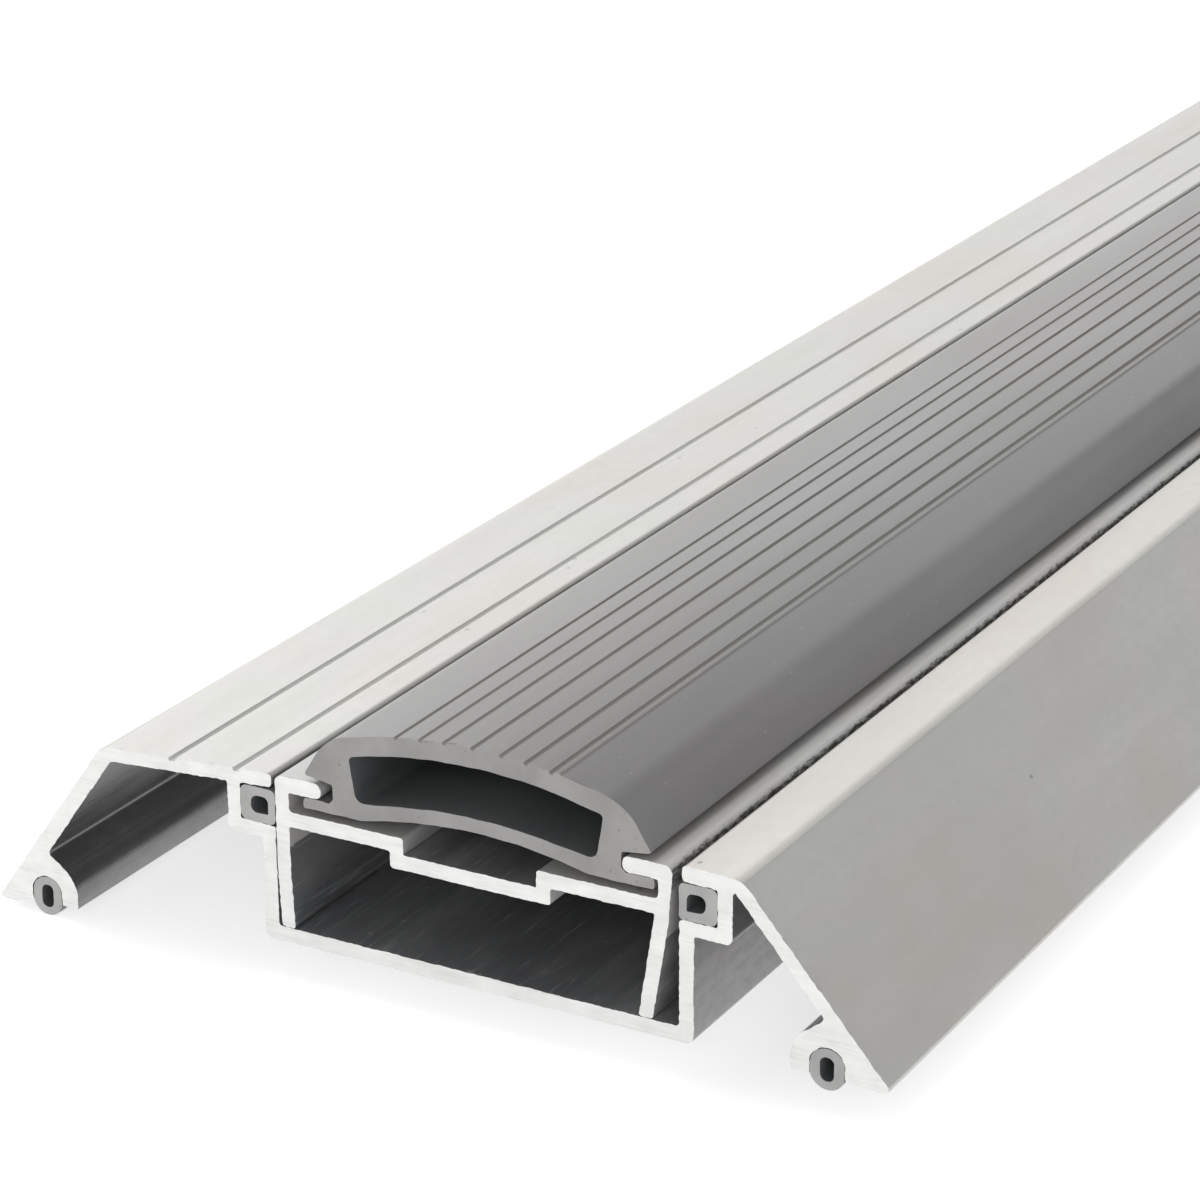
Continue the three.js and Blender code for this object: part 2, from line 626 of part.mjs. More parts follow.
// A set rivet nut: flange on the recess floor, bulge under it, and a plain tail.
function threadInsert(name, y) {
  const bore = SCREW_RADIUS + THREAD_CLEARANCE;
  const bulgeTop = recessFloor - CARRIER_FLOOR - FIT_CLEARANCE / 2;
  const bulgeBottom = bulgeTop - NUT_BULGE_HEIGHT;
  const profile = [
    [bore, bulgeBottom - NUT_TAIL],
    [nutShankRadius, bulgeBottom - NUT_TAIL],
    [nutShankRadius, bulgeBottom],
    [bore + NUT_BULGE_WALL, (bulgeTop + bulgeBottom) / 2],
    [bore + NUT_BULGE_WALL, bulgeTop],
    [nutShankRadius, bulgeTop],
    [nutShankRadius, nutFlangeBottom],
    [bore + NUT_FLANGE_WALL, nutFlangeBottom],
    [bore + NUT_FLANGE_WALL, nutFlangeTop - NUT_CHAMFER],
    [bore + NUT_FLANGE_WALL - NUT_CHAMFER, nutFlangeTop],
    [bore + NUT_CHAMFER, nutFlangeTop],
    [bore, nutFlangeTop - NUT_CHAMFER],
    [bore, bulgeBottom - NUT_TAIL],
  ];
  const mesh = named(name, turned(profile), nutFinish);
  mesh.position.set(carrierCentre, y, 0);
  return mesh;
}

// ---- Assembly -----------------------------------------------------------------------------------

const threshold = new THREE.Group();
threshold.add(baseFrame(), sealCarrier(), bulbSeal());
threshold.add(sideSeal('side_seal_outer', OUTER_SIDE, outerPlan));
threshold.add(sideSeal('side_seal_inner', INNER_SIDE, innerPlan));
threshold.add(footSeal('foot_seal_outer', OUTER_SIDE, outerPlan));
threshold.add(footSeal('foot_seal_inner', INNER_SIDE, innerPlan));
jackPlaces.forEach((y, i) => {
  threshold.add(jackScrew(`jack_screw_${i + 1}`, y));
  threshold.add(threadInsert(`thread_insert_${i + 1}`, y));
});

export default threshold;
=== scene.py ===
# %% [markdown]
# # An adjustable door threshold strip, finished around its frame
#
# The strip is a metre of aluminium and rubber sections, sawn to length: a wide base, a carrier that
# jacking screws lift inside it, the hollow bulb seal that the door closes on, and small tubular seals.
# The engineering model gives every piece's size and place. This lesson gives each piece its sawn ends,
# its finish and its small hardware, and never moves anything. Lengths are in metres, with +X to the
# room side, Y along the strip and +Z up.

# %% Load the frame
import math

import bmesh
import bpy
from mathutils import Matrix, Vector, noise


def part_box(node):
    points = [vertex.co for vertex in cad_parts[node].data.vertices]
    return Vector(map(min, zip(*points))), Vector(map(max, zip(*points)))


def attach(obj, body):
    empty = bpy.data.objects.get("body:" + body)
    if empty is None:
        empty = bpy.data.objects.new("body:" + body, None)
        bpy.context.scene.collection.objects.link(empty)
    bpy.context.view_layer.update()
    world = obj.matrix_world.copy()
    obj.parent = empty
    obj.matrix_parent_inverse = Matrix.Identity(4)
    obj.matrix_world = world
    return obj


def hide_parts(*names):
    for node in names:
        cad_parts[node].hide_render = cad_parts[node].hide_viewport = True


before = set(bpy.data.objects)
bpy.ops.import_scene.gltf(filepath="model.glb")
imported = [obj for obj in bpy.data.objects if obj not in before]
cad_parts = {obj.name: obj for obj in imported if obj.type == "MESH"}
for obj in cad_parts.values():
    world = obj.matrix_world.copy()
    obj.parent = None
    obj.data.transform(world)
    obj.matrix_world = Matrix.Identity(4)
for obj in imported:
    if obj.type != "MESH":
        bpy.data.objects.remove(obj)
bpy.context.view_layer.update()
MM = 0.001
TINY = 0.01 * MM
noise.seed_set(5)           # the same wandering edges on every run
print("CAD nodes:", len(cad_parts))

# %% [markdown]
# ## Small helpers
#
# Every operator works on what is selected, and the loaded frame arrives selected. So each step first
# clears the selection, then picks faces or edges by where they lie and which way they face.

# %% Selection helpers
def only(piece):
    """Make one piece selected and active."""
    bpy.ops.object.select_all(action="DESELECT")
    piece.select_set(True)
    bpy.context.view_layer.objects.active = piece


def pick(piece, kind, test):
    """In edit mode, select the faces or edges that pass a test, and say how many."""
    bpy.ops.mesh.select_mode(type={"edges": "EDGE", "faces": "FACE"}[kind])
    bpy.ops.mesh.select_all(action="DESELECT")
    mesh = bmesh.from_edit_mesh(piece.data)
    mesh.normal_update()
    found = [part for part in getattr(mesh, kind) if test(part)]
    for part in found:
        part.select_set(True)
    bmesh.update_edit_mesh(piece.data)
    return len(found)


def smooth(piece, degrees=25):
    """Shade smoothly, but keep real corners sharp and broad faces flat."""
    only(piece)
    bpy.ops.object.shade_smooth()
    bpy.ops.object.mode_set(mode="EDIT")
    pick(piece, "edges", lambda e: e.calc_face_angle(0) > math.radians(degrees))
    bpy.ops.mesh.mark_sharp()
    bpy.ops.mesh.select_all(action="DESELECT")
    bpy.ops.object.mode_set(mode="OBJECT")
    weighting = piece.modifiers.new("flat_faces", "WEIGHTED_NORMAL")
    weighting.keep_sharp = True
    bpy.ops.object.modifier_apply(modifier=weighting.name)


# %% [markdown]
# ## Finishes are built from a few parts
#
# Each finish is a small graph of nodes: a position on the piece, patterns that read it, and the shader
# that they drive. The helpers below add one part of such a graph at a time.

# %% Shader helpers
def start_finish(name, metallic, specular=0.5):
    """A new material, its node tree, its shader, and the position that patterns read."""
    material = bpy.data.materials.new(name)
    material.use_nodes = True
    tree = material.node_tree
    shader = tree.nodes["Principled BSDF"]
    shader.inputs["Metallic"].default_value = metallic
    shader.inputs["Specular IOR Level"].default_value = specular
    place = tree.nodes.new("ShaderNodeTexCoord").outputs["Object"]
    return material, tree, shader, place


def stretched(tree, place, x=1, y=1, z=1, turn=(0, 0, 0)):
    """The position scaled along each axis. A pattern on it is drawn out where the scale is below 1."""
    mapping = tree.nodes.new("ShaderNodeMapping")
    mapping.inputs["Scale"].default_value = (x, y, z)
    mapping.inputs["Rotation"].default_value = [math.radians(a) for a in turn]
    tree.links.new(place, mapping.inputs["Vector"])
    return mapping.outputs["Vector"]


def cloud(tree, place, per_metre, detail=4, roughness=0.55):
    """Soft noise with this many features in a metre."""
    noise = tree.nodes.new("ShaderNodeTexNoise")
    noise.inputs["Scale"].default_value = per_metre
    noise.inputs["Detail"].default_value = detail
    noise.inputs["Roughness"].default_value = roughness
    tree.links.new(place, noise.inputs["Vector"])
    return noise.outputs["Fac"]


def specks(tree, place, per_metre, radius, softness):
    """Small round dots scattered at random: 1 in a dot, 0 outside."""
    cells = tree.nodes.new("ShaderNodeTexVoronoi")
    cells.inputs["Scale"].default_value = per_metre
    tree.links.new(place, cells.inputs["Vector"])
    return between(tree, cells.outputs["Distance"], radius + softness, radius, 0, 1)


def between(tree, value, low, high, to_low, to_high):
    """A value's range turned into another range."""
    span = tree.nodes.new("ShaderNodeMapRange")
    for socket, number in (("From Min", low), ("From Max", high), ("To Min", to_low), ("To Max", to_high)):
        span.inputs[socket].default_value = number
    tree.links.new(value, span.inputs["Value"])
    return span.outputs["Result"]


def shades(tree, value, *stops):
    """A colour for each value, from (position, colour) stops."""
    ramp = tree.nodes.new("ShaderNodeValToRGB")
    while len(ramp.color_ramp.elements) < len(stops):
        ramp.color_ramp.elements.new(0.5)
    for element, (position, colour) in zip(ramp.color_ramp.elements, stops):
        element.position = position
        element.color = (*colour, 1)
    tree.links.new(value, ramp.inputs["Fac"])
    return ramp.outputs["Color"]


def mixed(tree, factor, first, second, how="MIX"):
    """Two colours mixed by a factor, which is a number or a pattern."""
    mix = tree.nodes.new("ShaderNodeMix")
    mix.data_type = "RGBA"
    mix.blend_type = how
    for socket, source in ((mix.inputs["Factor"], factor), (mix.inputs[6], first), (mix.inputs[7], second)):
        if isinstance(source, (int, float)):
            socket.default_value = source
        elif isinstance(source, tuple):
            socket.default_value = (*source, 1)
        else:
            tree.links.new(source, socket)
    return mix.outputs[2]


def sums(tree, *values):
    """Patterns added together."""
    total = values[0]
    for value in values[1:]:
        add = tree.nodes.new("ShaderNodeMath")
        add.operation = "ADD"
        tree.links.new(total, add.inputs[0])
        tree.links.new(value, add.inputs[1])
        total = add.outputs[0]
    return total


def weakened(tree, value, share):
    """A pattern turned down to this share of its strength."""
    return between(tree, value, 0, 1, 0, share)


def scaled(colour, share):
    """A colour made darker, or lighter if the share is more than 1."""
    return tuple(share * part for part in colour)


def relief(tree, shader, height, depth, strength):
    """Fine relief of this depth in metres, seen only in the light."""
    bump = tree.nodes.new("ShaderNodeBump")
    bump.inputs["Strength"].default_value = strength
    bump.inputs["Distance"].default_value = depth
    tree.links.new(height, bump.inputs["Height"])
    tree.links.new(bump.outputs["Normal"], shader.inputs["Normal"])


# %% [markdown]
# ## Mill-finish aluminium
#
# The sections are left as they come from the extrusion press. The die scores fine lines along them,
# handling dulls them in soft patches, and a few light specks and short scratches lie across the lines.
# All of it reads the position on the piece, so that the lines run true from end to end. The finish differs
# from place to place: the inner deck is a lighter tone, the channel and the undersides are more scored and
# painted darker as painted shade, the fine grooves are painted pale as painted light against the shade of
# their walls, and dirt gathers in the gaps beside the carrier's lips.

# %% Grime along an edge
GRIME = (0.035, 0.034, 0.033)


def grime(tree, place, tone, clean, dirty):
    """Dark dirt that thickens from one place across the strip to another, and starts as specks."""
    split = tree.nodes.new("ShaderNodeSeparateXYZ")
    tree.links.new(place, split.inputs["Vector"])
    reach = between(tree, split.outputs["X"], clean, dirty, 0, 1)
    grains = cloud(tree, stretched(tree, place, y=0.3), 2300, detail=5, roughness=0.75)
    return mixed(tree, between(tree, sums(tree, reach, grains), 1.0, 1.15, 0, 0.85), tone, GRIME)


# %% Mill-finish aluminium
COOL = (0.985, 1.0, 0.982)      # the stains on bare metal
PLAIN = (1.0, 1.0, 1.0)
WARM = (1.0, 0.966, 0.948)


def mill_finish(name, dark, light, dullness, metallic, lines=0.16, squeeze=0.012, dirt=()):
    """Bare metal. Lines says how strong the die's lines are, and squeeze how far they are drawn out."""
    material, tree, shader, place = start_finish(name, metallic)
    die_lines = cloud(tree, stretched(tree, place, y=squeeze), 1500, detail=6, roughness=0.7)
    grain = cloud(tree, stretched(tree, place, y=0.6), 700, detail=5, roughness=0.65)
    broad_lines = cloud(tree, stretched(tree, place, y=0.01), 260, detail=3)
    patches = cloud(tree, stretched(tree, place, y=0.4), 38, detail=5, roughness=0.6)
    scuffs = cloud(tree, stretched(tree, place, y=0.09, turn=(0, 0, 24)), 420, detail=4, roughness=0.65)
    dust = specks(tree, place, 210, radius=0.035, softness=0.05)
    grit = specks(tree, stretched(tree, place, y=0.8, turn=(11, 7, 30)), 120, radius=0.02, softness=0.03)
    stains = cloud(tree, stretched(tree, place, y=0.5, turn=(0, 0, 8)), 62, detail=3)
    tone = shades(tree, patches, (0.3, dark), (0.7, light))
    tints = shades(tree, stains, (0.36, COOL), (0.5, PLAIN), (0.64, WARM))
    tone = mixed(tree, 1.0, tone, tints, "MULTIPLY")
    tone = mixed(tree, between(tree, broad_lines, 0.35, 0.65, 0.0, lines), tone, dark)
    tone = mixed(tree, between(tree, die_lines, 0.56, 0.66, 0.0, lines), tone, light)
    tone = mixed(tree, between(tree, scuffs, 0.62, 0.8, 0.0, 0.25), tone, light)
    tone = mixed(tree, between(tree, grain, 0.42, 0.68, 0.0, 0.35), tone, dark)
    tone = mixed(tree, weakened(tree, dust, 0.5), tone, light)
    tone = mixed(tree, weakened(tree, grit, 0.6), tone, scaled(dark, 0.4))
    for clean, dirty in dirt:
        tone = grime(tree, place, tone, clean, dirty)
    tree.links.new(tone, shader.inputs["Base Color"])
    roughness = sums(tree, between(tree, patches, 0.3, 0.7, dullness - 0.06, dullness + 0.06),
                     between(tree, die_lines, 0.3, 0.7, -0.05, 0.05))
    tree.links.new(roughness, shader.inputs["Roughness"])
    relief(tree, shader, sums(tree, die_lines, weakened(tree, scuffs, 0.35)), depth=0.018 * MM, strength=0.6)
    return material


# %% The mill finishes
base_mill = mill_finish("base_mill_finish", (0.50, 0.495, 0.475), (0.62, 0.61, 0.59), 0.46, 0.75)
# A lighter copy of the mill finish for the inner deck.
lighter_deck_metal = mill_finish("inner_deck_lighter_metal", (0.62, 0.602, 0.572), (0.76, 0.738, 0.708), 0.46, 0.7)
# Painted light: the fine grooves are painted pale and nearly non-metallic, to stand in for the light that
# their walls shut out.
lit_groove_metal = mill_finish("groove_metal_painted_light", (0.64, 0.64, 0.62), (0.76, 0.76, 0.74), 0.5, 0.15)
# Painted shade: a darker, more scored copy of the mill finish for the undersides and for faces with the strip
# above them.
shaded_mill = mill_finish("shaded_mill_finish", (0.21, 0.21, 0.214), (0.43, 0.43, 0.43), 0.34, 0.85,
                          lines=0.5)
# Painted shade: a darker, more scored copy of the mill finish for the channel, the carrier's underside and
# the recess floor under the bulb.
shaded_channel_metal = mill_finish("channel_metal_painted_shade", (0.27, 0.276, 0.288), (0.66, 0.67, 0.68), 0.36, 0.6,
                           lines=0.7, squeeze=0.045)
low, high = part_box("seal_carrier")
lip_dirt = [(high.x - 1.05 * MM, high.x + 0.6 * MM), (low.x + 1.3 * MM, low.x - 0.6 * MM)]
carrier_mill = mill_finish("carrier_mill_finish", (0.54, 0.54, 0.535), (0.66, 0.66, 0.655), 0.46, 0.3,
                           dirt=lip_dirt)
mills = (base_mill, lighter_deck_metal, lit_groove_metal, shaded_mill, shaded_channel_metal, carrier_mill)
print("mill finishes:", [m.name for m in mills])

# %% [markdown]
# ## Sawn aluminium
#
# The cut ends are fresh metal, brighter and rougher than the skin. The saw's teeth leave faint lines
# across the section, a little slanted, and the metal between them is almost white.

# %% Sawn aluminium
def sawn_finish():
    """Bright metal with faint strokes of the saw."""
    material, tree, shader, place = start_finish("sawn_aluminium", 1.0)
    strokes = cloud(tree, stretched(tree, place, x=0.05, turn=(0, 18, 0)), 2600, detail=4, roughness=0.6)
    patches = cloud(tree, place, 240, detail=4)
    tone = shades(tree, patches, (0.3, (0.76, 0.76, 0.745)), (0.65, (0.83, 0.83, 0.82)))
    tone = mixed(tree, between(tree, strokes, 0.55, 0.8, 0.0, 0.35), tone, (0.64, 0.64, 0.63))
    tree.links.new(tone, shader.inputs["Base Color"])
    tree.links.new(between(tree, strokes, 0.3, 0.7, 0.55, 0.75), shader.inputs["Roughness"])
    relief(tree, shader, strokes, depth=0.03 * MM, strength=0.5)
    return material


sawn = sawn_finish()
print("sawn finish:", sawn.name)

# %% [markdown]
# ## Rubber
#
# The seals are grey extruded rubber: matt, faintly cloudy, and dusty. The press leaves a fine grain and
# soft lines along them, and the cut end is a shade lighter than the skin, with tiny pores. The bulb's
# crown has more specular than its flank beyond the bead, and that flank is painted a little lighter and
# cooler as painted light. The bulb's fine grooves are painted paler as painted light, and the hollows are
# painted darker as painted shade.

# %% Rubber skin
COOL_RUBBER, WARM_RUBBER = (0.96, 1.0, 1.0), (1.0, 0.975, 0.97)


def rubber_finish(name, dark, light, dullness, grain, specular=0.5):
    """Pressed rubber. Grain is how many of its finest features lie in a metre."""
    material, tree, shader, place = start_finish(name, 0.0, specular)
    clouds = cloud(tree, stretched(tree, place, y=0.3), 45, detail=4)
    lines = cloud(tree, stretched(tree, place, y=0.01), 900, detail=4)
    fine = cloud(tree, place, grain, detail=3, roughness=0.7)
    speckle = cloud(tree, place, 1300, detail=5, roughness=0.7)
    stains = cloud(tree, stretched(tree, place, y=0.4, turn=(0, 0, 12)), 30, detail=3)
    dust = specks(tree, place, 330, radius=0.03, softness=0.06)
    tone = shades(tree, clouds, (0.32, dark), (0.68, light))
    tints = shades(tree, stains, (0.36, COOL_RUBBER), (0.64, WARM_RUBBER))
    tone = mixed(tree, 1.0, tone, tints, "MULTIPLY")
    tone = mixed(tree, between(tree, lines, 0.4, 0.7, 0.0, 0.18), tone, dark)
    tone = mixed(tree, between(tree, speckle, 0.55, 0.75, 0.0, 0.14), tone, scaled(light, 1.35))
    tone = mixed(tree, weakened(tree, dust, 0.45), tone, scaled(light, 1.6))
    tree.links.new(tone, shader.inputs["Base Color"])
    roughness = between(tree, clouds, 0.3, 0.7, dullness - 0.05, dullness + 0.06)
    tree.links.new(roughness, shader.inputs["Roughness"])
    relief(tree, shader, sums(tree, fine, weakened(tree, lines, 0.4)), depth=0.02 * MM, strength=0.5)
    return material


# %% Cut rubber
def cut_rubber_finish(name, dark, light):
    """The knife's cut: lighter than the skin, with tiny pores."""
    material, tree, shader, place = start_finish(name, 0.0, 0.3)
    clouds = cloud(tree, place, 160, detail=4)
    pores = specks(tree, place, 620, radius=0.05, softness=0.08)
    tone = shades(tree, clouds, (0.35, dark), (0.65, light))
    tone = mixed(tree, weakened(tree, pores, 0.6), tone, scaled(dark, 0.45))
    tree.links.new(tone, shader.inputs["Base Color"])
    tree.links.new(between(tree, clouds, 0.3, 0.7, 0.62, 0.75), shader.inputs["Roughness"])
    relief(tree, shader, cloud(tree, place, 2500, detail=3), depth=0.03 * MM, strength=0.5)
    return material


# %% The rubbers
BULB_GRAIN, TUBE_GRAIN = 2600, 3200
bulb_skin = rubber_finish("bulb_rubber_skin", (0.18, 0.174, 0.171), (0.228, 0.22, 0.216), 0.35, BULB_GRAIN,
                          specular=0.8)
# Painted light: the flank beyond the bead is a copy of the skin painted a little lighter and cooler, with
# less specular.
lit_flank_rubber = rubber_finish("flank_rubber_painted_light", (0.188, 0.185, 0.185), (0.238, 0.234, 0.234), 0.35,
                           BULB_GRAIN, specular=0.45)
# Painted light: the crown's fine grooves are painted paler than the skin, to stand in for the light that
# their walls shut out.
lit_crown_groove = rubber_finish("crown_groove_rubber_painted_light", (0.30, 0.29, 0.285), (0.38, 0.37, 0.36), 0.6, BULB_GRAIN)
bulb_cut = cut_rubber_finish("bulb_rubber_cut", (0.27, 0.264, 0.26), (0.33, 0.323, 0.318))
tube_skin = rubber_finish("tube_rubber_skin", (0.18, 0.18, 0.18), (0.24, 0.24, 0.24), 0.6, TUBE_GRAIN)
tube_cut = cut_rubber_finish("tube_rubber_cut", (0.34, 0.337, 0.334), (0.43, 0.426, 0.42))
# Painted shade: the insides of the hollow seals are painted darker and bluer.
hollow_shade_rubber = rubber_finish("hollow_shade_rubber", (0.095, 0.103, 0.107), (0.135, 0.143, 0.147), 0.6, BULB_GRAIN)
rubbers = (bulb_skin, lit_flank_rubber, lit_crown_groove, bulb_cut, tube_skin, tube_cut, hollow_shade_rubber)
print("rubbers:", [m.name for m in rubbers])

# %% [markdown]
# ## Plated steel
#
# The jacking screws are blackened steel and the rivet nuts are zinc plated. Both are turned parts, so
# the tool marks run round them, and the plating is worn bright on the high spots.

# %% Plated steel
def turned_finish(name, dark, light, dullness):
    """Turned steel, with tool marks that run round the axis."""
    material, tree, shader, place = start_finish(name, 1.0)
    rings = cloud(tree, stretched(tree, place, x=0.05, y=0.05), 5200, detail=4)
    stains = cloud(tree, place, 520, detail=4)
    tone = shades(tree, stains, (0.35, dark), (0.68, light))
    tone = mixed(tree, between(tree, rings, 0.45, 0.7, 0.0, 0.3), tone, light)
    tree.links.new(tone, shader.inputs["Base Color"])
    roughness = between(tree, rings, 0.3, 0.7, dullness - 0.06, dullness + 0.1)
    tree.links.new(roughness, shader.inputs["Roughness"])
    relief(tree, shader, rings, depth=0.01 * MM, strength=0.5)
    return material


screw_steel = turned_finish("blackened_steel", (0.06, 0.06, 0.065), (0.16, 0.16, 0.165), 0.38)
nut_steel = turned_finish("zinc_plate", (0.50, 0.48, 0.40), (0.68, 0.67, 0.60), 0.34)
print("steels:", screw_steel.name, nut_steel.name)

# %% [markdown]
# ## Sections cut from the frame
#
# An extruded section is right only if its outline is right, and the frame already has the true outline.
# So each long piece starts as a copy of its frame node. The copy's loose triangles are merged, and flat
# neighbours are dissolved into whole faces, as they would be if the outline had been drawn by hand.

# %% Copy a section
MERGE = 0.1 * TINY


def section(node, name):
    """Copy a frame node's mesh and give it whole faces."""
    piece = bpy.data.objects.new(name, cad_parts[node].data.copy())
    piece.data.materials.clear()
    bpy.context.scene.collection.objects.link(piece)
    only(piece)
    bpy.ops.object.mode_set(mode="EDIT")
    bpy.ops.mesh.select_all(action="SELECT")
    bpy.ops.mesh.remove_doubles(threshold=MERGE)
    bpy.ops.mesh.dissolve_limited(angle_limit=math.radians(0.5))
    bpy.ops.object.mode_set(mode="OBJECT")
    print(name, "starts with", len(piece.data.polygons), "faces")
    return piece


# %% [markdown]
# ## Sawn ends
#
# A saw leaves the end of an aluminium section bright and a little ragged: the blade drags the edge into
# a fine burr. Rubber is cut with a knife and stays cleaner, but its edge still wanders. The section is
# first cut off just short of its end, and the open outline is halved into short lengths. Drawing that
# outline out to the end adds a narrow band, so the damage stays local. Each point of the band's rim then
# moves across the strip by a noise of a fraction of a millimetre. Neighbours move almost alike, so the rim
# wanders and has teeth, but it never crosses itself. Last, the end is filled between its rims, which
# leaves any hollow open.

# %% [markdown]
# ### Working at a thousand times the size
#
# Fill treats points closer than 0.03 units as one, which in metres is too coarse for an outline with
# teeth. So a section is grown until a millimetre is one unit, sawn, and shrunk back to metres.

# %% Saw an end
RING = 0.8                  # how far from the end the saw's damage reaches, mm
SHORT = 0.4                 # the outline is split into lengths no longer than this, mm
SLOW, QUICK = 0.42, 1.7     # how often in a millimetre the outline wanders, and how often the burr does


def saw_ends(piece, wander, burr, seed):
    """Give both ends a cut edge that wanders by so many mm, with a fine burr on it."""
    only(piece)
    bpy.ops.object.mode_set(mode="EDIT")
    bpy.ops.mesh.select_all(action="SELECT")
    bpy.ops.transform.resize(value=[1 / MM] * 3, center_override=(0, 0, 0))
    end = max(v.co.y for v in bmesh.from_edit_mesh(piece.data).verts)
    for side in (-1, 1):
        bpy.ops.mesh.select_all(action="SELECT")
        bpy.ops.mesh.bisect(
            plane_co=(0, side * (end - RING), 0), plane_no=(0, side, 0), clear_outer=True)
        while pick(piece, "edges", lambda e: e.is_boundary and e.calc_length() > SHORT):
            bpy.ops.mesh.subdivide(number_cuts=1, ngon=True)
        count = pick(piece, "edges", lambda e: e.is_boundary)
        bpy.ops.mesh.extrude_edges_move()
        bpy.ops.transform.translate(value=(0, side * RING, 0))
        rim = [v for v in bmesh.from_edit_mesh(piece.data).verts if v.select]
        for point in rim:
            across = Vector((point.co.x, 0, point.co.z))
            shift = (wander * noise.noise_vector(across * SLOW + Vector((0, seed + side, 0)))
                     + burr * noise.noise_vector(across * QUICK + Vector((0, 0, seed - side))))
            point.co += Vector((shift.x, 0, shift.z))
        bmesh.update_edit_mesh(piece.data)
        bpy.ops.mesh.fill(use_beauty=True)
    bpy.ops.mesh.select_all(action="SELECT")
    bpy.ops.mesh.quads_convert_to_tris(quad_method="BEAUTY", ngon_method="BEAUTY")
    bpy.ops.mesh.normals_make_consistent(inside=False)
    bpy.ops.transform.resize(value=[MM] * 3, center_override=(0, 0, 0))
    open_edges = sum(not e.is_manifold for e in bmesh.from_edit_mesh(piece.data).edges)
    bpy.ops.object.mode_set(mode="OBJECT")
    print(piece.name, "outline edges:", count, "faces:", len(piece.data.polygons), "open:", open_edges)


# %% [markdown]
# ### Where each finish goes
#
# The two cut ends are found by their place. Every other face is asked what surrounds it: whether it can
# see the sky, whether walls stand on all sides of it, or whether it lies in a fine groove.

# %% Give a section its finishes
CUT_REACH, CUT_FACING = 0.2 * MM, 0.35      # a cut face lies this near the end and faces along the strip


def finish_section(piece, cut, which, *finishes):
    """The cut's finish on both ends. Elsewhere which(face) gives the number of one of the finishes."""
    for material in (cut, *finishes):
        piece.data.materials.append(material)
    end = max(v.co.y for v in piece.data.vertices)
    for face in piece.data.polygons:
        at_cut = end - abs(face.center.y) < CUT_REACH and abs(face.normal.y) > CUT_FACING
        face.material_index = 0 if at_cut else 1 + which(face)
    smooth(piece)
    print(piece.name, "finishes:", [m.name for m in piece.data.materials])


# %% Find a hollow
OFF_FACE = 0.04 * MM        # a ray starts this far in front of its face


def in_hollow(piece, face):
    """1 for a face inside a closed section, which has a wall above, below and on both sides, else 0."""
    start = face.center + OFF_FACE * face.normal
    ways = ((1, 0, 0), (-1, 0, 0), (0, 0, 1), (0, 0, -1))
    return int(all(piece.ray_cast(start, Vector(way))[0] for way in ways))


# %% Find a fine groove
DECK_GROOVE, CROWN_GROOVE = 1.3 * MM, 1.1 * MM      # a groove is no wider than this


def in_groove(piece, face, widest):
    """Whether a face is open to the sky, but has walls close on both sides of it."""
    start = face.center + OFF_FACE * face.normal
    if piece.ray_cast(start, Vector((0, 0, 1)))[0]:
        return False
    across = 0
    for side in (-1, 1):
        hit, place = piece.ray_cast(start, Vector((side, 0, 0)), distance=widest)[:2]
        across += (place - start).length if hit else widest
    return across < widest


# %% [markdown]
# ## The base
#
# One wide extrusion carries everything: ramp, deck, channel, deck and ramp, with its seal pockets.

# %% Round the feet's inner corners
FILLET = 0.45 * MM
LONG = 0.9                  # an edge that runs the whole strip is longer than this
INWARD_CORNER = -90         # degrees
SLACK = 10
base = section("base_frame", "base_sections")
bpy.ops.object.mode_set(mode="EDIT")
corners = pick(base, "edges", lambda e: e.calc_length() > LONG
               and abs(math.degrees(e.calc_face_angle_signed(0)) - INWARD_CORNER) < SLACK)
bpy.ops.mesh.bevel(offset=FILLET, segments=3)
bpy.ops.object.mode_set(mode="OBJECT")
print("corners rounded:", corners)

# %% Saw the base
saw_ends(base, 0.06, 0.11, seed=3)
channel_low, channel_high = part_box("seal_carrier")
DECK_NORMAL = 0.9           # a deck faces up more than this, a ramp less
UNDERSIDE = -0.5            # a face that points down faces up less than this
SOLID_PLACE = 0.37          # no fixing hole is this far along the strip
channel_left, channel_right = channel_low.x - 0.5 * MM, channel_high.x + 1.2 * MM
channel_bottom, channel_top = 0.5 * MM, channel_high.z - 1 * MM


def base_face(face):
    """0 outside, 1 under decks and ramps, 2 in the channel, 3 in a fine groove, 4 on the inner deck."""
    # A fine groove gets the pale groove finish: painted light.
    if in_groove(base, face, DECK_GROOVE):
        return 3
    x, z = face.center.x, face.center.z
    # Faces in the channel get the darker channel finish: painted shade.
    if channel_left < x < channel_right and channel_bottom < z < channel_top:
        return 2
    # Faces with the strip above them, and faces that point down, get the darker shaded finish: painted shade.
    start = face.center + face.normal * 0.1 * MM
    blocked = base.ray_cast(Vector((start.x, SOLID_PLACE, start.z)), Vector((0, 0, 1)))[0]
    if blocked or face.normal.z < UNDERSIDE:
        return 1
    return 4 if x > channel_high.x and face.normal.z > DECK_NORMAL else 0


finish_section(base, sawn, base_face, base_mill, shaded_mill, shaded_channel_metal, lit_groove_metal, lighter_deck_metal)
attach(base, "base")
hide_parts("base_frame")

# %% [markdown]
# ## The carrier
#
# The carrier rises and falls in the channel. Its lips hold the bulb seal by the feet.

# %% Saw the carrier
carrier = section("seal_carrier", "carrier_section")
saw_ends(carrier, 0.05, 0.10, seed=11)
web_under = channel_high.z - 9.3 * MM       # just below the lowest part of the web
WEB_REACH = 3.5 * MM                        # the web's underside and its recess's floor lie within this


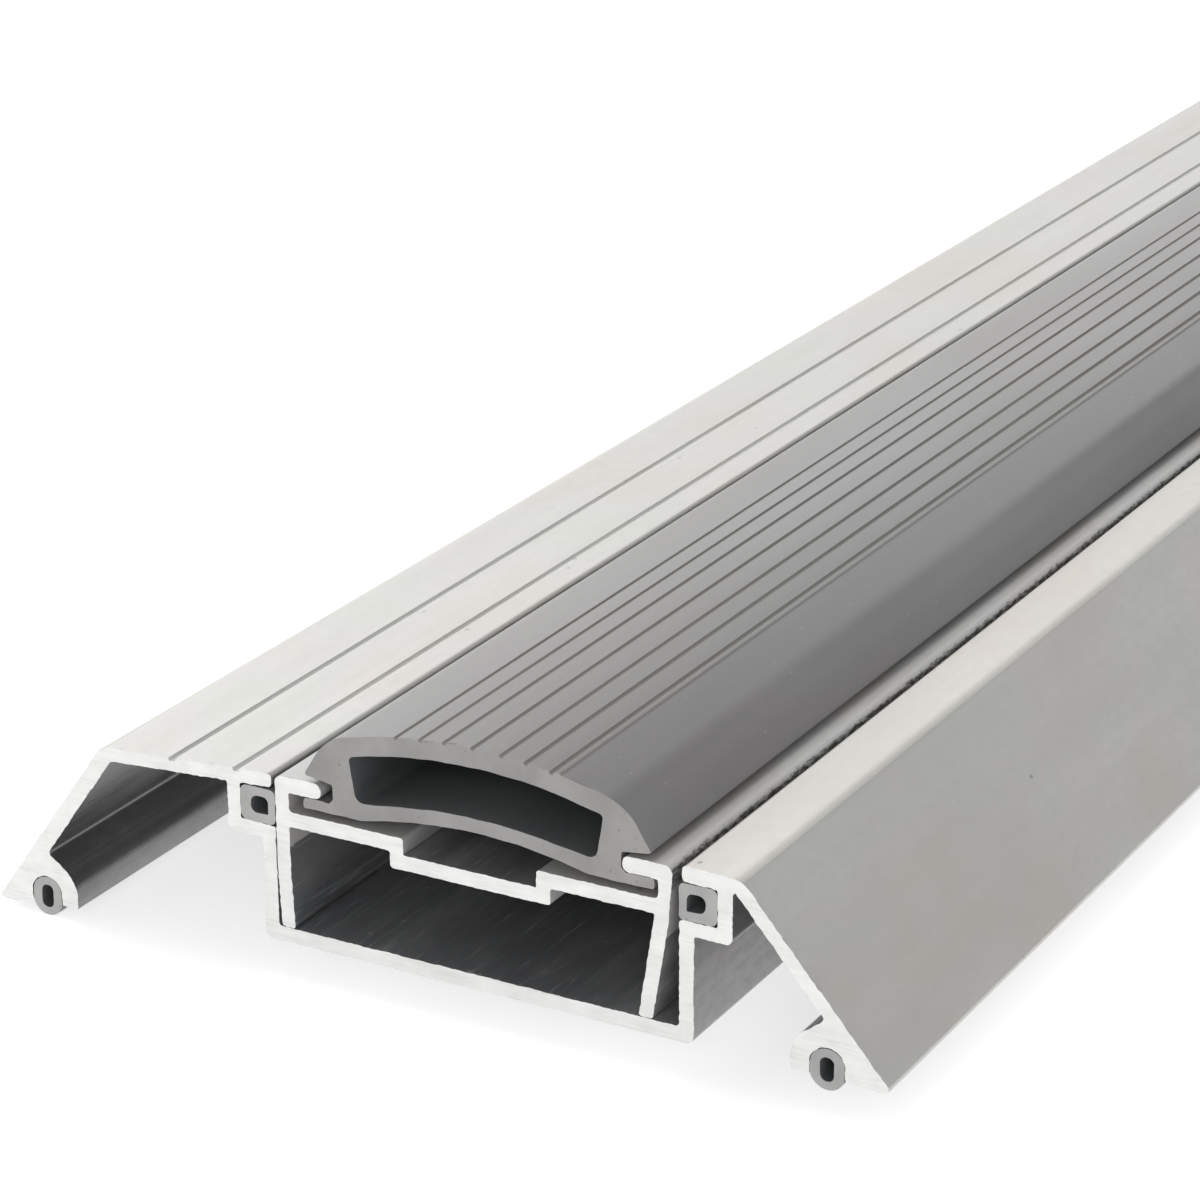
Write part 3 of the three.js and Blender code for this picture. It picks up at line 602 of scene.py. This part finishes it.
# Under the web and on the recess floor beneath the bulb, the carrier gets the darker channel finish: painted
# shade.
def carrier_face(face):
    """1 inside the legs, under the web and on the floor of its recess, 0 for the rest."""
    near_web = abs(face.normal.z) > 0.5 and face.center.z < web_under + WEB_REACH
    return int(face.center.z < web_under or near_web)


finish_section(carrier, sawn, carrier_face, carrier_mill, shaded_channel_metal)
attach(carrier, "carrier")
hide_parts("seal_carrier")

# %% [markdown]
# ## The bulb seal
#
# The door closes on this hollow bulb. Fine grooves run along its crown so that a shoe grips it, and a low
# bead ends them on the room side. The crown is cut along four lines, and the strip between the middle two
# is raised.

# %% Cut the bulb seal
bulb = section("bulb_seal", "bulb_section")
low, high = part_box("bulb_seal")
bulb_x = (low.x + high.x) / 2
BEAD_START, BEAD_END = 11.05 * MM, 11.95 * MM       # from the seal's middle
BEAD_SLOPE, BEAD_HEIGHT = 0.3 * MM, 0.16 * MM
CROWN_NORMAL, CROWN_REACH = 0.8, 3 * MM             # the crown faces up and lies near the seal's top
bead_top = (BEAD_START + BEAD_SLOPE, BEAD_END - BEAD_SLOPE)


def on_crown(face):
    return face.normal.z > CROWN_NORMAL and face.calc_center_median().z > high.z - CROWN_REACH


only(bulb)
bpy.ops.object.mode_set(mode="EDIT")
for reach in (BEAD_START, *bead_top, BEAD_END):
    pick(bulb, "faces", on_crown)
    bpy.ops.mesh.bisect(plane_co=(bulb_x + reach, 0, 0), plane_no=(1, 0, 0))
count = pick(bulb, "faces", lambda f: on_crown(f)
             and bead_top[0] < f.calc_center_median().x - bulb_x < bead_top[1])
bpy.ops.transform.translate(value=(0, 0, BEAD_HEIGHT))
bpy.ops.object.mode_set(mode="OBJECT")
print("bead faces:", count)
saw_ends(bulb, 0.10, 0.02, seed=23)


def bulb_face(face):
    """0 on the crown, 1 inside the hollow, 2 in a groove, 3 on the flank beyond the bead."""
    if in_groove(bulb, face, CROWN_GROOVE):
        return 2
    if in_hollow(bulb, face):
        return 1
    return 3 if face.center.x > bulb_x + BEAD_END and face.normal.x > 0 else 0


finish_section(bulb, bulb_cut, bulb_face, bulb_skin, hollow_shade_rubber, lit_crown_groove, lit_flank_rubber)
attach(bulb, "carrier")
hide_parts("bulb_seal")

# %% [markdown]
# ## The tubular seals
#
# Four small tubes close the gaps: two beside the carrier and one under each foot. They are pushed into
# their grooves, so their ends are knife cuts.

# %% Cut the tubular seals
TUBES = ("side_seal_outer", "side_seal_inner", "foot_seal_outer", "foot_seal_inner")
for seed, seal in enumerate(TUBES):
    tube = section(seal, seal.replace("seal", "tube"))
    saw_ends(tube, 0.08, 0.02, seed=41 + 7 * seed)
    # The inside of each tube gets the dark hollow rubber: painted shade.
    finish_section(tube, tube_cut, lambda f: in_hollow(tube, f), tube_skin, hollow_shade_rubber)
    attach(tube, "base")
    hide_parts(seal)

# %% [markdown]
# ## Jacking screws
#
# Five grub screws lift the carrier. Each is turned from one bar: a flat dog point, a rolled thread and a
# hexagon socket. One ring of edges is drawn up in small steps, because a thread needs rows to wind on.
# The thread is then one rule: a point's distance from the axis depends on its height less its angle.

# %% Turn a profile by extruding a ring
def turned_part(name, profile, sides, closed):
    """Extrude a ring up a profile of (radius, height) points, as a lathe would follow it."""
    radius, height = profile[0]
    bpy.ops.object.select_all(action="DESELECT")
    bpy.ops.mesh.primitive_circle_add(vertices=sides, radius=radius, location=(0, 0, height),
                                      fill_type="NOTHING" if closed else "NGON")
    piece = bpy.context.object
    piece.name = piece.data.name = name
    bpy.ops.object.mode_set(mode="EDIT")
    bpy.ops.mesh.select_all(action="SELECT")
    for next_radius, next_height in profile[1:]:
        if closed:
            bpy.ops.mesh.extrude_edges_move()
        else:
            bpy.ops.mesh.extrude_region_move()
        share = next_radius / radius
        bpy.ops.transform.translate(value=(0, 0, next_height - height))
        bpy.ops.transform.resize(value=(share, share, 1), center_override=(0, 0, next_height))
        radius, height = next_radius, next_height
    bpy.ops.mesh.select_all(action="SELECT")
    bpy.ops.mesh.remove_doubles(threshold=MERGE)
    bpy.ops.mesh.normals_make_consistent(inside=False)
    bpy.ops.object.mode_set(mode="OBJECT")
    bpy.ops.object.transform_apply(location=True, rotation=True, scale=True)
    return piece


# %% One jacking screw
PITCH, THREAD_DEPTH = 1.0 * MM, 0.5 * MM
STEP = PITCH / 8                            # between two rows of points
FADE = 1.2 * MM                             # the thread runs out over this length at the top
POINT_INSET, POINT_TAPER = 0.95 * MM, 0.9 * MM
CHAMFER_START, CHAMFER = 0.4 * MM, 0.55 * MM

low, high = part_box("jack_screw_1")
screw_radius, screw_length = (high.x - low.x) / 2, high.z - low.z
point_radius = screw_radius - POINT_INSET
steps = round(screw_length / STEP)
profile = [(point_radius, 0), (screw_radius, POINT_TAPER)]
profile += [(screw_radius, i * STEP) for i in range(8, steps - 4)]
profile += [(screw_radius - CHAMFER_START, screw_length - STEP), (screw_radius - CHAMFER, screw_length)]
screw = turned_part("jacking_screw_1", profile, 32, closed=False)
for point in screw.data.vertices:
    reach = math.hypot(point.co.x, point.co.y)
    if reach > point_radius + TINY:
        turn = math.atan2(point.co.y, point.co.x) / (2 * math.pi)
        along = (point.co.z / PITCH - turn) % 1
        depth = THREAD_DEPTH * min(1, max(0, 1.35 - 3.2 * abs(along - 0.5)))
        fade = min(1, max(0, (screw_length - point.co.z) / FADE))
        share = (reach - depth * fade) / reach
        point.co.x, point.co.y = point.co.x * share, point.co.y * share
print(screw.name, "has", len(screw.data.polygons), "faces")

# %% Cut the socket
SOCKET_FLATS, SOCKET_DEEP = 3.0 * MM, 3.0 * MM
socket_radius = SOCKET_FLATS / math.sqrt(3)
bpy.ops.mesh.primitive_cylinder_add(vertices=6, radius=socket_radius, depth=2 * SOCKET_DEEP,
                                    location=(0, 0, screw_length))
key = bpy.context.object
only(screw)
cut = screw.modifiers.new("socket", "BOOLEAN")
cut.object, cut.operation, cut.solver = key, "DIFFERENCE", "EXACT"
bpy.ops.object.modifier_apply(modifier=cut.name)
bpy.data.objects.remove(key)

# %% [markdown]
# ## Rivet nuts
#
# The carrier's wall is too thin for a thread, so a rivet nut is set at each screw. Its flange sits in
# the recess, a bulge has been drawn up under the wall, and its shank is knurled to bite the metal.

# %% One rivet nut
SIDES = 48
KNURL_TOP = 2.3 * MM
KNURL_GAP, KNURL_DEPTH = 0.08 * MM, 0.09 * MM
low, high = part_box("thread_insert_1")
nut_radius, nut_length = (high.x - low.x) / 2, high.z - low.z
bore = nut_radius - 3.4 * MM
shank, bulge = bore + 1.4 * MM, bore + 2.5 * MM
flange_under = nut_length - 1.0 * MM
bulge_top = flange_under - 2.05 * MM
rows = [(bore, 0.25), (bore + 0.25 * MM, 0), (shank - 0.25 * MM, 0), (shank, 0.25),
        (shank, 2.35), (shank + 0.35 * MM, 2.6), (bulge - 0.15 * MM, 2.95), (bulge, 3.3), (bulge, 3.75),
        (bulge - 0.25 * MM, 4.15)]
profile = [(radius, height * MM) for radius, height in rows]
profile += [(shank, bulge_top), (shank, flange_under), (nut_radius - 0.1 * MM, flange_under),
            (nut_radius, flange_under + 0.15 * MM), (nut_radius, nut_length - 0.3 * MM),
            (nut_radius - 0.3 * MM, nut_length), (bore + 0.3 * MM, nut_length), (bore, nut_length - 0.3 * MM),
            (bore, 0.25 * MM)]
nut = turned_part("rivet_nut_1", profile, SIDES, closed=True)

# %% Knurl the shank
def on_knurl(face):
    """Every other face round the outside of the shank."""
    middle = face.calc_center_median()
    outside = middle.xy.length > shank - 0.1 * MM and middle.z < KNURL_TOP
    column = round(math.atan2(middle.y, middle.x) * SIDES / (2 * math.pi) - 0.5)
    return abs(face.normal.z) < 0.2 and outside and column % 2


only(nut)
bpy.ops.object.mode_set(mode="EDIT")
knurled = pick(nut, "faces", on_knurl)
bpy.ops.mesh.inset(thickness=KNURL_GAP, use_individual=True)
bpy.ops.transform.shrink_fatten(value=-KNURL_DEPTH)
bpy.ops.object.mode_set(mode="OBJECT")
print(nut.name, "has", len(nut.data.polygons), "faces,", knurled, "knurls")

# %% Put one of each at every jacking place
JACKING_PLACES = range(1, 6)        # as the frame numbers them


def set_copies(first, stem, node_stem, body, material):
    """Stand the first piece and four copies of it where the frame has them."""
    shape = first.data.copy()
    for number in JACKING_PLACES:
        piece = first
        if number != JACKING_PLACES[0]:
            piece = first.copy()
            piece.data = shape.copy()
            bpy.context.scene.collection.objects.link(piece)
        piece.name = piece.data.name = f"{stem}_{number}"
        low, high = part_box(f"{node_stem}_{number}")
        place = Vector(((low.x + high.x) / 2, (low.y + high.y) / 2, low.z))
        for point in piece.data.vertices:
            point.co += place
        piece.data.materials.append(material)
        smooth(piece, 35)
        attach(piece, body.format(number))
        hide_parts(f"{node_stem}_{number}")
    bpy.data.meshes.remove(shape)
    print(stem, "stands at", len(JACKING_PLACES), "places")


set_copies(screw, "jacking_screw", "jack_screw", "screw_{}", screw_steel)
set_copies(nut, "rivet_nut", "thread_insert", "carrier", nut_steel)

# %% [markdown]
# ## The studio
#
# A pale floor, a soft box above, two behind that the flat faces mirror, and one in front for the ends. The
# floor glows a little, so that it stays white round the strip and keeps only a faint shadow.

# %% Floor
lowest = min(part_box(node)[0].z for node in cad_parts)
bpy.ops.mesh.primitive_plane_add(size=12, location=(0, 0, 0))
floor = bpy.context.object
floor.name = "studio_floor"
for vertex in floor.data.vertices:
    vertex.co.z = lowest
floor_paint, tree, shader, place = start_finish("floor_paint", 0.0, 0.2)
paint_tone = shades(tree, cloud(tree, place, 3), (0.3, (0.90, 0.90, 0.90)), (0.7, (0.92, 0.92, 0.92)))
tree.links.new(paint_tone, shader.inputs["Base Color"])
shader.inputs["Roughness"].default_value = 0.8
shader.inputs["Emission Color"].default_value = (1, 1, 1, 1)
shader.inputs["Emission Strength"].default_value = 0.62
floor.data.materials.append(floor_paint)

# %% Lights
def soft_box(name, place, aim, width, height, watts):
    """A rectangular lamp at a place, facing a point."""
    data = bpy.data.lights.new(name, "AREA")
    data.shape = "RECTANGLE"
    data.size, data.size_y, data.energy = width, height, watts
    lamp = bpy.data.objects.new(name, data)
    lamp.location = place
    lamp.rotation_euler = (Vector(aim) - Vector(place)).to_track_quat("-Z", "Y").to_euler()
    bpy.context.scene.collection.objects.link(lamp)


STRIP, CUT_END = (0, -0.2, 0), (0, -0.45, 0)
soft_box("top_box", (-0.95, 0.1, 1.2), STRIP, 1.4, 2.4, 13.5)
soft_box("back_box", (-1.3, 2.1, 1.0), STRIP, 2.5, 1.6, 15)
soft_box("side_box", (1.0, 1.75, 1.0), STRIP, 1.6, 1.4, 3.2)
soft_box("front_box", (0.45, -1.9, 0.55), CUT_END, 1.4, 1.0, 6.6)
world = bpy.data.worlds.new("studio_air")
world.use_nodes = True
world.node_tree.nodes["Background"].inputs["Color"].default_value = (1, 1, 1, 1)
world.node_tree.nodes["Background"].inputs["Strength"].default_value = 0.42
bpy.context.scene.world = world
bpy.context.scene.view_settings.view_transform = "Standard"

# %% Camera
LENS, SENSOR = 117.7, 36                            # mm
AZIMUTH, ELEVATION, ROLL = 29.48, 21.285, 0.378     # degrees
TARGET, DISTANCE = Vector((-18.06, -436.8, 25.0)) * MM, 520 * MM
azimuth, elevation = math.radians(AZIMUTH), math.radians(ELEVATION)
towards = Vector((-math.sin(azimuth) * math.cos(elevation),
                  math.cos(azimuth) * math.cos(elevation), -math.sin(elevation)))
camera_data = bpy.data.cameras.new("studio_camera")
camera_data.lens, camera_data.sensor_width, camera_data.clip_start = LENS, SENSOR, 0.01
camera = bpy.data.objects.new("studio_camera", camera_data)
bpy.context.scene.collection.objects.link(camera)
camera.location = TARGET - DISTANCE * towards
camera.rotation_euler = towards.to_track_quat("-Z", "Y").to_euler()
camera.rotation_euler.rotate_axis("Z", -math.radians(ROLL))
bpy.context.scene.camera = camera
